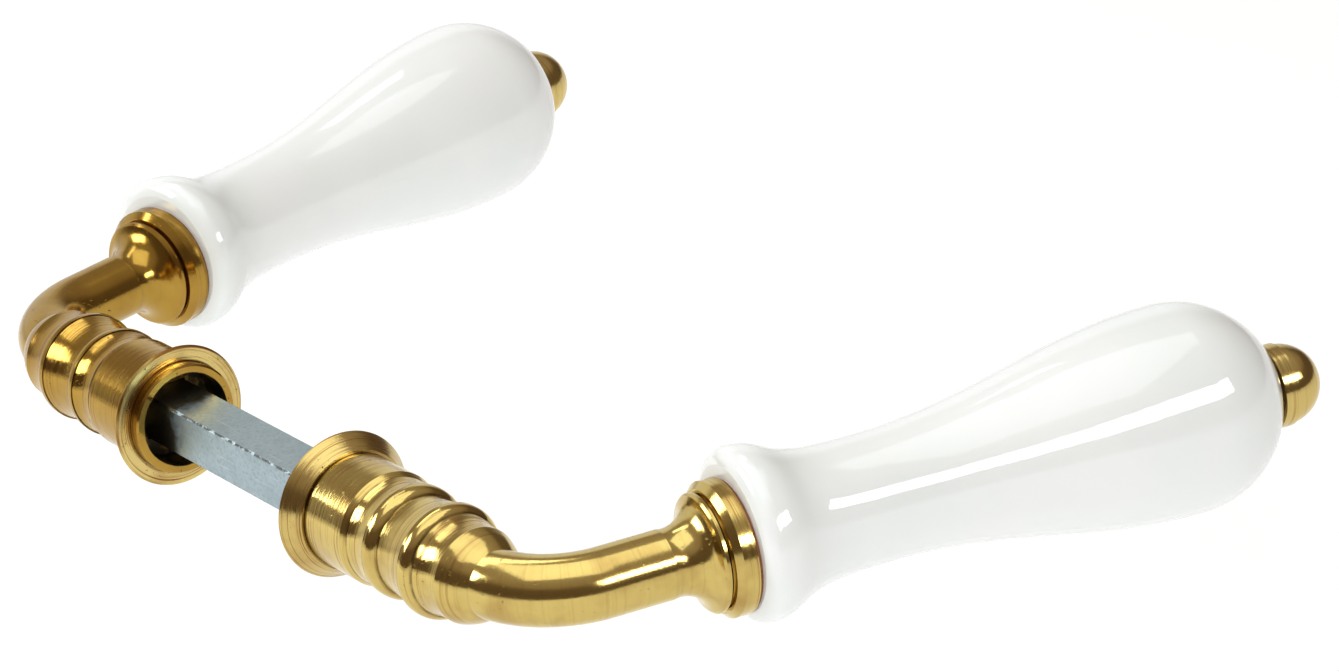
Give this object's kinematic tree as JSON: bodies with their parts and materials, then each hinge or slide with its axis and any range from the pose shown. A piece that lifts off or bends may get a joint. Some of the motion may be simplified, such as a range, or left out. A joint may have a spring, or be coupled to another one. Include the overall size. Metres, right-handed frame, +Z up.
{
  "type": "door lever handle",
  "caption": "Pair of brass door levers with beaded necks, curved elbows and white porcelain grips, joined by a square spindle that works a mortice lock.",
  "frame": {"origin": "middle of the square spindle, on its axis, in the middle of the door", "axes": "+Y along the spindle to the far lever, +X along the levers to their grips, +Z up"},
  "size_m": [0.1404, 0.2198, 0.0324],
  "materials": {
    "cast_brass": "polished cast and turned brass with fine lathe marks",
    "turned_brass": "polished turned brass",
    "ring_brass": "fine turned brass, brushed round",
    "sleeve_brass": "plain drawn tube",
    "porcelain": "glossy white glaze",
    "plated_steel": "zinc plated, fine drawn grain",
    "spring_steel": "spring steel",
    "black_steel": "blackened steel",
    "fibre": "red-brown vulcanised fibre"
  },
  "bodies": {
    "near_bearing": {"near_bearing_ring": "ring_brass", "near_retaining_clip": "spring_steel"},
    "lever_set": {"spindle": "plated_steel", "near_lever_casting": "cast_brass", "near_ferrule": "turned_brass", "near_rear_washer": "fibre", "near_grip": "porcelain", "near_grip_sleeve": "sleeve_brass", "near_tie_rod": "plated_steel", "near_front_washer": "fibre"},
    "near_screw": {"near_grub_screw": "black_steel"},
    "near_nut": {"near_finial": "turned_brass"},
    "far_lever": {"far_lever_casting": "cast_brass", "far_ferrule": "turned_brass", "far_rear_washer": "fibre", "far_grip": "porcelain", "far_grip_sleeve": "sleeve_brass", "far_tie_rod": "plated_steel", "far_front_washer": "fibre"},
    "far_screw": {"far_grub_screw": "black_steel"},
    "far_nut": {"far_finial": "turned_brass"},
    "far_bearing": {"far_bearing_ring": "ring_brass", "far_retaining_clip": "spring_steel"}
  },
  "joints": [
    {"name": "lever_turn", "type": "hinge", "parent": "near_bearing", "child": "lever_set", "pos_m": [0, 0, 0], "axis": [0, 1, 0], "range_deg": [0, 45]},
    {"name": "far_lever_slide", "type": "slide", "parent": "lever_set", "child": "far_lever", "axis": [0, 1, 0], "range_m": [-0.004, 0.014]},
    {"name": "far_ring_turn", "type": "hinge", "parent": "far_lever", "child": "far_bearing", "pos_m": [0, 0.0232, 0], "axis": [0, 1, 0], "range_deg": [-45, 0]},
    {"name": "near_screw_out", "type": "slide", "parent": "lever_set", "child": "near_screw", "axis": [0, 0, -1], "range_m": [0, 0.003]},
    {"name": "far_screw_out", "type": "slide", "parent": "far_lever", "child": "far_screw", "axis": [0, 0, -1], "range_m": [0, 0.003]},
    {"name": "near_finial_off", "type": "slide", "parent": "lever_set", "child": "near_nut", "axis": [0.9781, -0.2079, 0], "range_m": [0, 0.005]},
    {"name": "far_finial_off", "type": "slide", "parent": "far_lever", "child": "far_nut", "axis": [0.9781, 0.2079, 0], "range_m": [0, 0.005]}
  ],
  "couplings": [
    {"joint": "far_ring_turn", "follows": "lever_turn", "ratio": -1}
  ]
}
